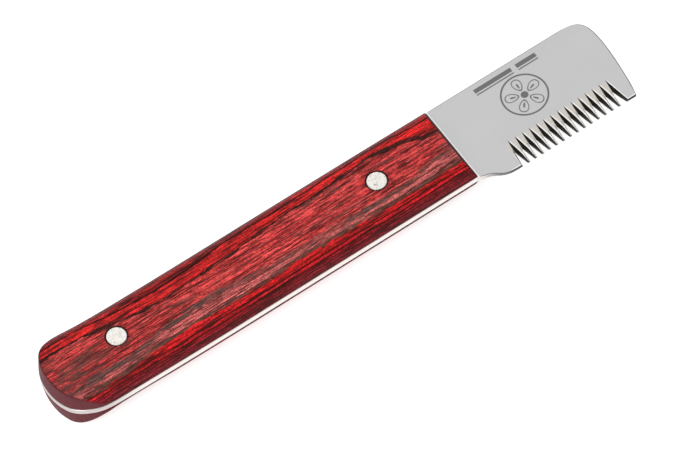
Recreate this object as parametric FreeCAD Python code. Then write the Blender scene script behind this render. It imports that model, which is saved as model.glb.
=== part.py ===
import FreeCAD, Part
import math
import os

from FreeCAD import Vector

# Full-tang comb-toothed uncapping knife.
# +X runs from the butt to the blade's nose, +Y from the toothed edge to the back of the blade,
# +Z out of the front face. The origin is the middle of the grip, on the flat land of the rear
# scale, which is the plane the knife rests on. Millimetres.

# ---- handle plan
GRIP_END_X = 58.0      # front ends of the scales, where the blade leaves the grip
BUTT_START_X = -45.0   # the butt's curve starts here
BUTT_X = -57.85        # the butt's furthest point
# x, half width towards the teeth, half width towards the back
WIDTHS = [
    (GRIP_END_X + 4, 11.25, 11.00), (36.0, 11.32, 11.15), (12.0, 11.38, 11.20),
    (-12.0, 11.43, 11.21), (-26.0, 11.37, 11.28), (BUTT_START_X, 11.15, 11.80),
]
# the same columns, carrying the scale blank on past the butt before the butt is cut round
BUTT_OVERRUN = [(-50.0, 11.35, 12.25), (-60.0, 11.35, 12.25)]
# x, y of the butt from the toothed side round to the back, where the corner is tighter
BUTT = [
    (BUTT_START_X, -11.15), (-47.0, -11.06), (-49.0, -10.82), (-51.1, -10.20),
    (-53.1, -9.20), (-54.98, -7.86), (-56.28, -6.24), (-57.1, -4.34), (-57.64, -2.30),
    (BUTT_X, 0.1), (-57.72, 2.45), (-57.28, 4.65), (-56.48, 6.68), (-55.28, 8.45),
    (-53.7, 9.80), (-51.8, 10.80), (-49.8, 11.42), (-47.5, 11.74), (BUTT_START_X, 11.80),
]
BUTT_INSET_FADE_Y = 8.0   # nearer the middle than this, an inset moves y in proportion

# ---- thicknesses
SCALE_T = 5.2          # each scale, at its land
BLADE_T = 1.8          # blade outside the handle
TANG_RELIEF = 0.06     # ground off each side of the tang for the adhesive
TANG_EDGE_BREAK = 0.12
REAR_Z = SCALE_T                   # rear face of the blade, inner face of the rear scale
FRONT_Z = SCALE_T + BLADE_T        # front face of the blade, inner face of the front scale
TOP_Z = FRONT_Z + SCALE_T          # land of the front scale
MID_Z = (REAR_Z + FRONT_Z) / 2

# ---- scale section
INNER_CHAMFER = 0.20   # height of the broken edge along the inner face
SEAM_INSET = 0.15      # the inner face and the adhesive stop this far short of the side
# distance in from the side, height above the inner face; the land is then cut flat at SCALE_T
SHOULDER = [
    (0.0, INNER_CHAMFER), (0.50, 1.50), (1.30, 2.70), (2.40, 3.90), (3.60, 4.65),
    (5.40, 5.13), (7.40, SCALE_T + 0.012),
]
CUT_HEIGHT = SCALE_T + 1.0   # the end and butt cuts reach this far above the inner face
END_RAKE = 0.35        # the front end leans back by this per mm of height
BUTT_RAKE = 0.12       # the butt wall leans in by this per mm of height
BUTT_PROUD = 0.02      # the butt cut clears the plan outline by this
END_ROUND = 0.45       # radius on the front end's edge

# ---- two-piece rivets
RIVETS = {"blade_end": (GRIP_END_X - 21.58, -0.43), "butt_end": (GRIP_END_X - 95.48, 0.87)}
HEAD_R = 2.52
HEAD_T = 1.2
HEAD_CHAMFER = 0.12
SEAT_R = HEAD_R + 0.16
SEAT_T = HEAD_T
SLEEVE_R = 1.70
SLEEVE_END_Z = 8.4
HOLE_R = SLEEVE_R + 0.10
POST_R = 1.19
POST_END_Z = 2.6
BORE_R = POST_R + 0.01
BORE_FLOOR_Z = HEAD_T + 0.6

# ---- blade plan
BACK_Y = 11.22         # back of the blade
HEEL_Y = -11.40        # toothed side of the shank where it leaves the grip
EDGE_Y = -14.8         # tooth tips and the shoulders either side of them
EDGE_BREAK = 0.10
TOE_X = GRIP_END_X + 43.50   # nose's outer corner on the toothed side
TOE_ROUND = 0.35
TOE_MID = (0.08, 0.11)       # middle of the rounded corner, in from TOE_X and EDGE_Y
# distance from the grip, y: from the heel down to the front of the shoulder
CHOIL = [
    (0, HEEL_Y), (1.3, -11.77), (2.6, -12.18), (3.5, -12.62), (4.7, -13.54),
    (5.8, -14.22), (7.0, -14.62), (8.4, EDGE_Y + 0.03), (9.4, EDGE_Y),
]
# distance from the grip, y: from the rounded corner round the nose to the back
NOSE = [
    (43.50, EDGE_Y + TOE_ROUND), (43.92, -12.4), (44.42, -9.2), (44.86, -5.6), (45.18, -2.2),
    (45.4, 1.6), (45.32, 5.2), (45.06, 7.1), (44.48, 8.7), (43.5, 9.9),
    (42.1, 10.68), (40.4, 11.06), (38.0, BACK_Y),
]

# ---- teeth
PITCH = 2.025
NOTCH_COUNT = 15
NOTCH1_X = GRIP_END_X + 11.29
LAST_NOTCH_X = NOTCH1_X + PITCH * (NOTCH_COUNT - 1)
SHOULDER_X = GRIP_END_X + 10.20    # shoulder's corner on the first notch
NOSE_HEEL_X = GRIP_END_X + 41.00   # nose's corner on the last notch
ROOT_Y = -7.0          # notch roots on the front face
TIP_W = 0.20           # blunt width of a tooth tip
ROOT_W = 0.10          # width of a notch root on the front face
REAR_ROOT_W = 0.04     # width of a notch root on the rear face
NOTCH_LEAN = 59.0      # degrees; the lean makes the notches much shorter at the rear face
REAR_FLARE = 0.68      # at the rear face the notches open at this share of the front rate
NOTCH_OVERRUN = 0.4    # the notch cutter passes both faces by this
NOTCH_REACH = 1.5      # and the tooth tips by this
# each bevel: y where it starts, depth it takes off at the edge, overrun of its cutter
REAR_BEVEL_Y, REAR_BEVEL_D, REAR_BEVEL_OVERRUN = -9.7, 0.95, 1.4
TOOTH_BEVEL_Y, TOOTH_BEVEL_D, TOOTH_BEVEL_OVERRUN = -11.7, 0.32, 1.5
REAR_BEVEL_X = GRIP_END_X + 1.2    # the rear bevel starts here and runs out past the nose


# ---- shared helpers
def spline(points, start, end):
    """Curve through the points with the given end tangents."""
    curve = Part.BSplineCurve()
    curve.interpolate(Points=points, InitialTangent=start, FinalTangent=end)
    return curve.toShape()


def lines(points):
    return [Part.makeLine(a, b) for a, b in zip(points, points[1:])]


def polygon(points):
    return Part.makePolygon(points + [points[0]])


def prism(points, sweep):
    return Part.Face(polygon(points)).extrude(sweep)


def only_solid(shape):
    solids = shape.Solids
    assert len(solids) == 1, len(solids)
    return solids[0]


def drill(solid, z0, z1, radius):
    """Bore both rivet places from z0 to z1."""
    for x, y in RIVETS.values():
        solid = solid.cut(Part.makeCylinder(radius, z1 - z0, Vector(x, y, z0)))
    return solid


# ---- grip outline
def widths(x):
    """Half widths of the grip at x, towards the teeth and towards the back."""
    for (xa, low_a, high_a), (xb, low_b, high_b) in zip(WIDTHS, WIDTHS[1:]):
        if x >= xb:
            t = (xa - x) / (xa - xb)
            return low_a + (low_b - low_a) * t, high_a + (high_b - high_a) * t
    return WIDTHS[-1][1:]


def butt_points(z, inset, lean=0.0):
    """Butt outline at z, drawn in by inset and moved forward by lean at its furthest point."""
    points = []
    for x, y in BUTT:
        share = (BUTT_START_X - x) / (BUTT_START_X - BUTT_X)
        inward = inset * (1 if y > 0 else -1) * min(1.0, abs(y) / BUTT_INSET_FADE_Y)
        points.append(Vector(x + (inset + lean) * share, y - inward, z))
    return points


def butt_curve(points):
    return spline(points, Vector(-1, 0.02, 0), Vector(1, -0.03, 0))


def grip_plan(z, inset=0.0, front=GRIP_END_X):
    """Closed outline of the grip at z: toothed side, butt, back, front end."""
    butt = butt_points(z, inset)
    low, high = widths(front)
    tooth_side = [Vector(front, -low + inset, z)]
    back_side = [Vector(front, high - inset, z)]
    for x, low, high in WIDTHS[1:-1]:
        tooth_side.append(Vector(x, -low + inset, z))
        back_side.append(Vector(x, high - inset, z))
    tooth_side.append(butt[0])
    back_side.append(butt[-1])
    back_side.reverse()
    return Part.Wire(lines(tooth_side) + [butt_curve(butt)]
                     + lines(back_side + [tooth_side[0]]))


# ---- scales
def scale_section(x, low, high):
    """Section across the front scale: broken inner edges, two shoulders and a land."""
    def side(width, sign):
        return [Vector(x, sign * (width - d), FRONT_Z + h) for d, h in SHOULDER]

    tooth_side, back_side = side(low, -1), side(high, 1)
    base_low = Vector(x, -low + SEAM_INSET, FRONT_Z)
    base_high = Vector(x, high - SEAM_INSET, FRONT_Z)
    across = Vector(0, -1, 0)
    return Part.Wire([
        Part.makeLine(base_low, base_high),
        Part.makeLine(base_high, back_side[0]),
        spline(back_side, Vector(0, -0.3, 1), across),
        Part.makeLine(back_side[-1], tooth_side[-1]),
        spline(list(reversed(tooth_side)), across, Vector(0, -0.3, -1)),
        Part.makeLine(tooth_side[0], base_low),
    ])


def round_front_end(bar):
    """Round the edges of the raked front end, apart from those low on the inner face."""
    normal = Vector(1, 0, END_RAKE)
    normal.normalize()
    foot = Vector(GRIP_END_X, 0, FRONT_Z)

    def on_end(edge):
        points = edge.discretize(5)
        in_plane = all(abs((p - foot).dot(normal)) < 1e-3 for p in points)
        return in_plane and max(p.z for p in points) > FRONT_Z + 1

    edges = [e for e in bar.Edges if on_end(e)]
    for radius in (END_ROUND, END_ROUND * 0.7, END_ROUND * 0.45):
        # Guards against a fillet that fails: a smaller radius is used, or none.
        try:
            rounded = bar.makeFillet(radius, edges)
            if rounded.isValid() and rounded.Volume > 0.9 * bar.Volume:
                return rounded
        except Exception:
            pass
    return bar


def butt_cutter():
    """Solid that the scale is kept within, so that its butt is cut round and raked."""
    levels = []
    for height, inset in ((0.0, SEAM_INSET), (INNER_CHAMFER, -BUTT_PROUD),
                          (CUT_HEIGHT, -BUTT_PROUD)):
        z = FRONT_Z + height
        butt = butt_points(z, inset, BUTT_RAKE * height)
        lead_x, far_x = BUTT_START_X + 3, GRIP_END_X + 20
        around = [butt[-1], Vector(lead_x, 14, z), Vector(far_x, 20, z),
                  Vector(far_x, -20, z), Vector(lead_x, -14, z), butt[0]]
        levels.append(Part.Wire([butt_curve(butt)] + lines(around)))
    return Part.makeLoft(levels, True, True)


def front_scale_blank():
    sections = WIDTHS + BUTT_OVERRUN
    bar = None
    for here, there in zip(sections, sections[1:]):
        piece = Part.makeLoft([scale_section(*here), scale_section(*there)], True, True)
        bar = piece if bar is None else bar.fuse(piece)
    bar = bar.removeSplitter()
    # flat land
    bar = bar.cut(Part.makeBox(200, 60, 5, Vector(-100, -30, FRONT_Z + SCALE_T)))
    # raked front end
    low_z, high_z = FRONT_Z - 1, FRONT_Z + CUT_HEIGHT
    bar = bar.cut(prism([
        Vector(GRIP_END_X + END_RAKE, -20, low_z),
        Vector(GRIP_END_X - END_RAKE * CUT_HEIGHT, -20, high_z),
        Vector(GRIP_END_X + 30, -20, high_z),
        Vector(GRIP_END_X + 30, -20, low_z),
    ], Vector(0, 40, 0)))
    return round_front_end(bar).common(butt_cutter())


def make_scales():
    """Front scale, and the rear one as its mirror image in the blade's middle plane."""
    front = drill(only_solid(front_scale_blank()), FRONT_Z - 1, TOP_Z + 1, HOLE_R)
    front = only_solid(drill(front, TOP_Z - SEAT_T, TOP_Z + 1, SEAT_R))
    rear = only_solid(front.mirror(Vector(0, 0, MID_Z), Vector(0, 0, 1)))
    return front, rear


def make_film(z):
    """Adhesive film with its lower face at z."""
    outline = grip_plan(z, inset=SEAM_INSET, front=GRIP_END_X - SEAM_INSET)
    film = Part.Face(outline).extrude(Vector(0, 0, TANG_RELIEF))
    return only_solid(drill(film, z - 1, z + 1, HOLE_R))


# ---- blade
def blade_plan():
    """Closed outline of the blade ahead of the grip, before the notches."""
    z = REAR_Z
    choil = [Vector(GRIP_END_X + x, y, z) for x, y in CHOIL]
    nose = [Vector(GRIP_END_X + x, y, z) for x, y in NOSE]
    toe_start = Vector(TOE_X - TOE_ROUND, EDGE_Y, z)
    toe_mid = Vector(TOE_X - TOE_MID[0], EDGE_Y + TOE_MID[1], z)
    back_corner = Vector(GRIP_END_X, BACK_Y, z)
    return Part.Wire([
        spline(choil, Vector(1, -0.22, 0), Vector(1, 0, 0)),
        Part.makeLine(choil[-1], toe_start),
        Part.Arc(toe_start, toe_mid, nose[0]).toShape(),
        spline(nose, Vector(0.17, 1, 0), Vector(-1, 0.02, 0)),
        Part.makeLine(nose[-1], back_corner),
        Part.makeLine(back_corner, choil[0]),
    ])


def break_rim(body):
    """Chamfer the blade's rim on both faces, except where it meets the grip."""
    def on_rim(edge):
        box = edge.BoundBox
        return box.ZLength < 1e-6 and not box.XMax < GRIP_END_X + 1e-3

    edges = [e for e in body.Edges if on_rim(e)]
    # Guards against a chamfer that fails: the rim is then left sharp.
    try:
        broken = body.makeChamfer(EDGE_BREAK, edges)
        if broken.isValid():
            return broken
    except Exception:
        pass
    return body


def bevel_cutter(x, length, start_y, face_z, depth, overrun, outward):
    """Wedge that bevels a face towards the toothed edge; outward is the face's z direction."""
    end_y = start_y - (start_y - EDGE_Y) * overrun
    outer_z = face_z + outward * 2
    return prism([
        Vector(x, start_y, face_z),
        Vector(x, end_y, face_z - outward * depth * overrun),
        Vector(x, end_y, outer_z),
        Vector(x, start_y, outer_z),
    ], Vector(length, 0, 0))


def notch_cutter(index):
    """V whose root runs towards the toothed edge on its way to the rear face."""
    x = NOTCH1_X + PITCH * index
    depth = ROOT_Y - EDGE_Y
    # how far each wall opens per mm from the root, on the butt side and the nose side
    butt_slope = nose_slope = ((PITCH - TIP_W) / 2 - ROOT_W / 2) / depth
    if index == 0:
        butt_slope = (x - SHOULDER_X - ROOT_W / 2) / depth
    if index == NOTCH_COUNT - 1:
        nose_slope = (NOSE_HEEL_X - x - ROOT_W / 2) / depth
    rings = []
    # level is 0 at the front face and 1 at the rear face
    for level in (-NOTCH_OVERRUN / BLADE_T, (BLADE_T + NOTCH_OVERRUN) / BLADE_T):
        half = (ROOT_W + (REAR_ROOT_W - ROOT_W) * level) / 2
        flare = 1 - (1 - REAR_FLARE) * level
        y = ROOT_Y - level * BLADE_T * math.tan(math.radians(NOTCH_LEAN))
        z = FRONT_Z - level * BLADE_T
        reach = y - EDGE_Y + NOTCH_REACH
        rings.append(polygon([
            Vector(x - half, y, z),
            Vector(x + half, y, z),
            Vector(x + half + nose_slope * flare * reach, y - reach, z),
            Vector(x - half - butt_slope * flare * reach, y - reach, z),
        ]))
    return Part.makeLoft(rings, True, True)


def make_tang():
    """Tang, thinner than the blade by the relief on each side, with its edges broken."""
    z0, z1 = REAR_Z + TANG_RELIEF, FRONT_Z - TANG_RELIEF
    edge = TANG_EDGE_BREAK
    return Part.makeLoft([grip_plan(z0, edge), grip_plan(z0 + edge),
                          grip_plan(z1 - edge), grip_plan(z1, edge)], True, True)


def make_blade():
    body = break_rim(Part.Face(blade_plan()).extrude(Vector(0, 0, BLADE_T)))
    body = body.cut(bevel_cutter(REAR_BEVEL_X, 60, REAR_BEVEL_Y, REAR_Z,
                                 REAR_BEVEL_D, REAR_BEVEL_OVERRUN, outward=-1))
    for index in range(NOTCH_COUNT):
        body = body.cut(notch_cutter(index))
    # front bevel, on the teeth only
    body = body.cut(bevel_cutter(NOTCH1_X, LAST_NOTCH_X - NOTCH1_X, TOOTH_BEVEL_Y, FRONT_Z,
                                 TOOTH_BEVEL_D, TOOTH_BEVEL_OVERRUN, outward=1))
    blade = only_solid(body).fuse(make_tang()).removeSplitter()
    return only_solid(drill(blade, REAR_Z - 1, FRONT_Z + 1, HOLE_R))


# ---- rivets
def chamfer_head(half, z):
    """Chamfer the head's outer rim, which lies at z."""
    def on_rim(edge):
        box = edge.BoundBox
        return (abs(box.ZMin - z) < 1e-6 and abs(box.ZMax - z) < 1e-6
                and abs(box.XLength - 2 * HEAD_R) < 0.01)

    return only_solid(half.makeChamfer(HEAD_CHAMFER, [e for e in half.Edges if on_rim(e)]))


def make_sleeve(x, y):
    """Sleeve half, with its head in the rear scale."""
    head = Part.makeCylinder(HEAD_R, HEAD_T, Vector(x, y, 0))
    tube = Part.makeCylinder(SLEEVE_R, SLEEVE_END_Z - HEAD_T, Vector(x, y, HEAD_T))
    bore = Part.makeCylinder(BORE_R, 20, Vector(x, y, BORE_FLOOR_Z))
    return chamfer_head(head.fuse(tube).removeSplitter().cut(bore), 0.0)


def make_post(x, y):
    """Post half, with its head in the front scale."""
    head = Part.makeCylinder(HEAD_R, HEAD_T, Vector(x, y, TOP_Z - HEAD_T))
    pin = Part.makeCylinder(POST_R, TOP_Z - HEAD_T - POST_END_Z, Vector(x, y, POST_END_Z))
    return chamfer_head(head.fuse(pin).removeSplitter(), TOP_Z)


def main():
    os.makedirs("parts", exist_ok=True)
    front, rear = make_scales()
    parts = {
        "blade": make_blade(),
        "front_scale": front,
        "rear_scale": rear,
        "front_adhesive_film": make_film(FRONT_Z - TANG_RELIEF),
        "rear_adhesive_film": make_film(REAR_Z),
    }
    for name, (x, y) in RIVETS.items():
        parts[name + "_rivet_post"] = make_post(x, y)
        parts[name + "_rivet_sleeve"] = make_sleeve(x, y)
    for name, shape in parts.items():
        shape.exportStep("parts/%s.step" % name)


main()
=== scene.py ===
# A hand tool: a flat steel blade with a comb of fifteen notches, its tang held between two
# scales of red-dyed laminate by two rivets. It lies along X with the blade's nose at +X and the
# butt at -X. The notches open towards -Y, the blade's back is at +Y, and the front faces +Z.
# Lengths are millimetres unless they end in _M; MM turns them into Blender's metres.
import math

import bmesh
import bpy
import numpy as np
from mathutils import Matrix, Vector


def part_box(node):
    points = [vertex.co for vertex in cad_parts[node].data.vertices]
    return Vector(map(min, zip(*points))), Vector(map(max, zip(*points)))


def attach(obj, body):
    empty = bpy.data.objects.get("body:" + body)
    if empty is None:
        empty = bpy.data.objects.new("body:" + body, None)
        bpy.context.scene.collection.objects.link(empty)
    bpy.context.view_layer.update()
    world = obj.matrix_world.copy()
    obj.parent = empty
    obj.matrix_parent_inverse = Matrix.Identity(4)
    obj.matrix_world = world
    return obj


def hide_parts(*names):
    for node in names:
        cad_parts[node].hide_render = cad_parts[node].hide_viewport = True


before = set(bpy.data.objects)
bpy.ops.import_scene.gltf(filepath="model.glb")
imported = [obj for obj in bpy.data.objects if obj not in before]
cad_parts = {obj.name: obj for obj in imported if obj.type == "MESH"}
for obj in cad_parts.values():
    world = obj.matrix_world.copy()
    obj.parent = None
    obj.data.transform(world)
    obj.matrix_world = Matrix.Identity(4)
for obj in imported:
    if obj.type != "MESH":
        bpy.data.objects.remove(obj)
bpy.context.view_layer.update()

SCENE = bpy.context.scene
MM = 0.001


# ---------------------------------------------------------------- sizes taken from the CAD pieces
def box_mm(node):
    """Low and high corners of a CAD piece, in millimetres."""
    return [[float(v) / MM for v in corner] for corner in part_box(node)]


front_low, front_high = box_mm("front_scale")
JOINT_X = front_high[0]                   # front end of the scales
FRONT_Z = front_low[2]                    # inner face of the front scale
REAR_Z = box_mm("rear_scale")[1][2]       # inner face of the rear scale
SCALE_T = front_high[2] - front_low[2]
MID_Z = (FRONT_Z + REAR_Z) / 2

RIVETS = []                               # x, y, radius of each post
for end in ("blade_end", "butt_end"):
    low, high = box_mm(end + "_rivet_post")
    RIVETS.append(((low[0] + high[0]) / 2, (low[1] + high[1]) / 2, (high[0] - low[0]) / 2))

# blade features that the steel's colours follow
BACK_Y = 11.22
ROOT_Y, EDGE_Y = -7.0, -14.8              # inner and outer ends of the notches
NOTCH_X, NOTCH_PITCH, NOTCH_COUNT = JOINT_X + 11.29, 2.025, 15
LAST_NOTCH_X = NOTCH_X + NOTCH_PITCH * (NOTCH_COUNT - 1)


# ---------------------------------------------------------------- shader values
# Conventions in the materials: fit and soft turn a range (start, full) into a mask from 0 to 1,
# or from low to high. Positions are millimetres; normals run from -1 to 1. Masks are
# multiplied together, and a plain number multiplying a mask is its layer's strength.
def rgb(*levels):
    """Linear colour, with alpha, from sRGB levels of 0 to 255."""
    levels = [v / 255.0 for v in levels]
    linear = [v / 12.92 if v <= 0.04045 else ((v + 0.055) / 1.055) ** 2.4 for v in levels]
    return (*linear, 1.0)


class Value:
    """A node's output. Arithmetic on it adds Math nodes to its shader."""

    def __init__(self, shader, socket):
        self.shader = shader
        self.socket = socket

    def __add__(self, other):
        return self.shader.math("ADD", self, other)

    def __radd__(self, other):
        return self.shader.math("ADD", other, self)

    def __sub__(self, other):
        return self.shader.math("SUBTRACT", self, other)

    def __rsub__(self, other):
        return self.shader.math("SUBTRACT", other, self)

    def __mul__(self, other):
        return self.shader.math("MULTIPLY", self, other)

    def __truediv__(self, other):
        return self.shader.math("DIVIDE", self, other)

    def __mod__(self, other):
        return self.shader.math("MODULO", self, other)

    def __abs__(self):
        return self.shader.math("ABSOLUTE", self)

    def min(self, other):
        return self.shader.math("MINIMUM", self, other)

    def max(self, other):
        return self.shader.math("MAXIMUM", self, other)

    def fit(self, start, full, low=0.0, high=1.0, kind="LINEAR"):
        """Map start..full to low..high, clamped. start may be above full."""
        inputs = {"Value": self, "From Min": start, "From Max": full, "To Min": low, "To Max": high}
        return self.shader.value("MapRange", inputs, interpolation_type=kind)

    def soft(self, start, full, low=0.0, high=1.0):
        """fit with eased ends."""
        return self.fit(start, full, low, high, "SMOOTHSTEP")

    def swing(self, low=0.0, high=1.0):
        """Spread a noise's usual range over low..high."""
        return self.fit(0.3, 0.7, low, high)

    def band(self, core, edge):
        """1 where this is within core of zero, fading to 0 at edge."""
        return abs(self).soft(core, edge, low=1.0, high=0.0)

    def curve(self, points, span=60.0, top=12.0):
        """Smooth curve through (input, output) points, inputs within span, outputs within top."""
        node = self.shader.node("FloatCurve")
        line = node.mapping.curves[0]
        placed = [((a + span) / (2 * span), (b + top) / (2 * top)) for a, b in points]
        line.points[0].location = placed[0]
        line.points[-1].location = placed[-1]
        for a, b in placed[1:-1]:
            line.points.new(a, b)
        node.mapping.update()
        put(node.inputs["Value"], self.fit(-span, span))
        return Value(self.shader, node.outputs[0]).fit(0.0, 1.0, -top, top)


def put(socket, value):
    """Link a Value to an input, or set a plain value. None leaves the default."""
    if isinstance(value, Value):
        socket.id_data.links.new(value.socket, socket)
    elif value is not None:
        socket.default_value = value


class Shader:
    """A material and short names for the nodes it is built from."""

    def __init__(self, name):
        self.material = bpy.data.materials.new(name)
        self.material.use_nodes = True
        self.tree = self.material.node_tree
        self.tree.nodes.clear()
        self.output = self.tree.nodes.new("ShaderNodeOutputMaterial")
        self.count = 0

    def node(self, kind, inputs=None, **settings):
        node = self.tree.nodes.new("ShaderNode" + kind)
        node.location = ((self.count % 12) * 190 - 2300, 900 - (self.count // 12) * 260)
        self.count += 1
        for name, setting in settings.items():
            setattr(node, name, setting)
        for key, value in (inputs or {}).items():
            put(node.inputs[key], value)
        return node

    def value(self, kind, inputs=None, output=0, **settings):
        return Value(self, self.node(kind, inputs, **settings).outputs[output])

    def math(self, operation, a, b=None, clamp=False):
        return self.value("Math", {0: a, 1: b}, operation=operation, use_clamp=clamp)

    def vector(self, operation, a, b):
        second = 3 if operation == "SCALE" else 1
        return self.value("VectorMath", {0: a, second: b}, operation=operation)

    def xyz(self, vector):
        node = self.node("SeparateXYZ", {0: vector})
        return [Value(self, node.outputs[i]) for i in range(3)]

    def join(self, x, y, z):
        return self.value("CombineXYZ", {0: x, 1: y, 2: z})

    def noise(self, where, stretch=None, scale=1.0, detail=2.0, rough=0.5, distort=0.0):
        """Noise at a place. stretch is its frequency along each axis."""
        if stretch:
            where = self.vector("MULTIPLY", where, stretch)
        return self.value("TexNoise", {"Vector": where, "Scale": scale, "Detail": detail,
                                       "Roughness": rough, "Distortion": distort})

    def ramp(self, factor, stops):
        node = self.node("ValToRGB")
        elements = node.color_ramp.elements
        while len(elements) < len(stops):
            elements.new(0.5)
        for element, (position, colour) in zip(elements, stops):
            element.position = position
            element.color = colour
        put(node.inputs[0], factor)
        return Value(self, node.outputs[0])

    def mix(self, mask, under, over, blend="MIX"):
        return self.value("Mix", {0: mask, 6: under, 7: over}, output=2,
                          data_type="RGBA", blend_type=blend)

    def bump(self, height, distance, strength):
        """Normal from a height; distance is in metres."""
        return self.value("Bump", {"Strength": strength, "Distance": distance, "Height": height})

    def position(self):
        """Object coordinates in millimetres."""
        return self.vector("SCALE", self.value("TexCoord", output="Object"), 1000.0)

    def normal(self):
        return self.value("NewGeometry", output="True Normal")

    def principled(self, **inputs):
        node = self.node("BsdfPrincipled", {k.replace("_", " "): v for k, v in inputs.items()})
        self.tree.links.new(node.outputs[0], self.output.inputs[0])
        return self.material


def rivet_distance(x, y, rivet):
    """Distance from a rivet's axis."""
    dx, dy = x - rivet[0], y - rivet[1]
    return x.shader.math("SQRT", dx * dx + dy * dy)


# ---------------------------------------------------------------- laminate
# Veins along the land: (place along the grip, height across it), listed from +Y down.
TOP_VEIN = [(-60, 7.7), (-46, 8.3), (-37, 7.0), (-27, 6.1), (-13, 6.3), (-4, 7.3), (15, 7.3),
            (33, 8.0), (45, 8.1), (52, 7.2), (60, 7.1)]
UPPER_VEIN = [(-60, 5.4), (-48, 5.8), (-37, 4.4), (-27, 2.9), (-15, 3.0), (0, 3.9), (11, 4.7),
              (27, 5.2), (38, 6.0), (48, 4.6), (54, 2.7), (60, 2.0)]
LOWER_VEIN = [(-60, -5.8), (-38, -6.0), (-26, -4.3), (-12, -3.6), (0, -4.8), (24, -5.5),
              (42, -5.4), (52, -3.9), (60, -3.8)]
BOTTOM_VEIN = [(-60, -8.4), (-42, -8.3), (-29, -7.3), (-5, -7.5), (12, -7.2), (38, -7.6),
               (60, -7.3)]
# an extra thin line above the top vein
EXTRA_VEIN = [(-60, 11.6), (-36, 9.6), (-27, 7.2), (-13, 7.3), (-5, 8.4), (4, 9.6), (30, 11.6),
              (60, 11.6)]

# Veneers where the shoulders and sides cut them: (depth below the land, sRGB colour).
PLY_DEPTH = 6.5
LOW_PLY = [
    (0.0, (206, 34, 36)), (0.70, (208, 28, 31)), (1.10, (196, 26, 30)), (1.32, (172, 18, 20)),
    (1.41, (34, 2, 2)), (1.51, (34, 2, 2)), (1.60, (186, 24, 30)), (1.88, (204, 32, 38)),
    (2.12, (160, 22, 28)), (2.20, (40, 3, 4)), (2.32, (42, 3, 5)), (2.40, (146, 24, 32)),
    (2.68, (152, 28, 36)), (2.76, (50, 5, 8)), (2.88, (124, 26, 34)), (3.22, (130, 28, 36)),
    (3.34, (56, 8, 12)), (3.48, (124, 28, 36)), (4.3, (112, 26, 34)), (5.2, (98, 22, 30)),
    (6.3, (84, 16, 24))]
TOP_PLY = [
    (0.0, (182, 38, 40)), (0.60, (182, 36, 38)), (0.96, (186, 36, 40)), (1.04, (104, 18, 20)),
    (1.14, (104, 18, 20)), (1.24, (182, 38, 42)), (1.45, (176, 38, 42)), (1.56, (92, 16, 18)),
    (1.66, (92, 16, 18)), (1.78, (170, 38, 44)), (2.20, (158, 34, 42)), (2.32, (42, 6, 8)),
    (2.44, (110, 20, 24)), (3.0, (98, 18, 22)), (3.12, (48, 6, 10)), (3.26, (92, 16, 22)),
    (4.3, (84, 14, 20)), (5.2, (76, 12, 18)), (6.3, (70, 12, 18))]

# Brown spots near the butt: place along the grip, height across it, half length, half width.
SPOTS = [(-52.2, -0.7, 3.6, 1.5), (-55.4, -1.6, 2.0, 1.0), (-44.4, 1.5, 3.0, 0.8),
         (-48.6, 0.7, 2.8, 0.7), (-55.2, 2.8, 1.6, 0.5), (-50.5, -3.2, 2.6, 0.8),
         (-43.0, -2.2, 2.4, 0.6)]


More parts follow.
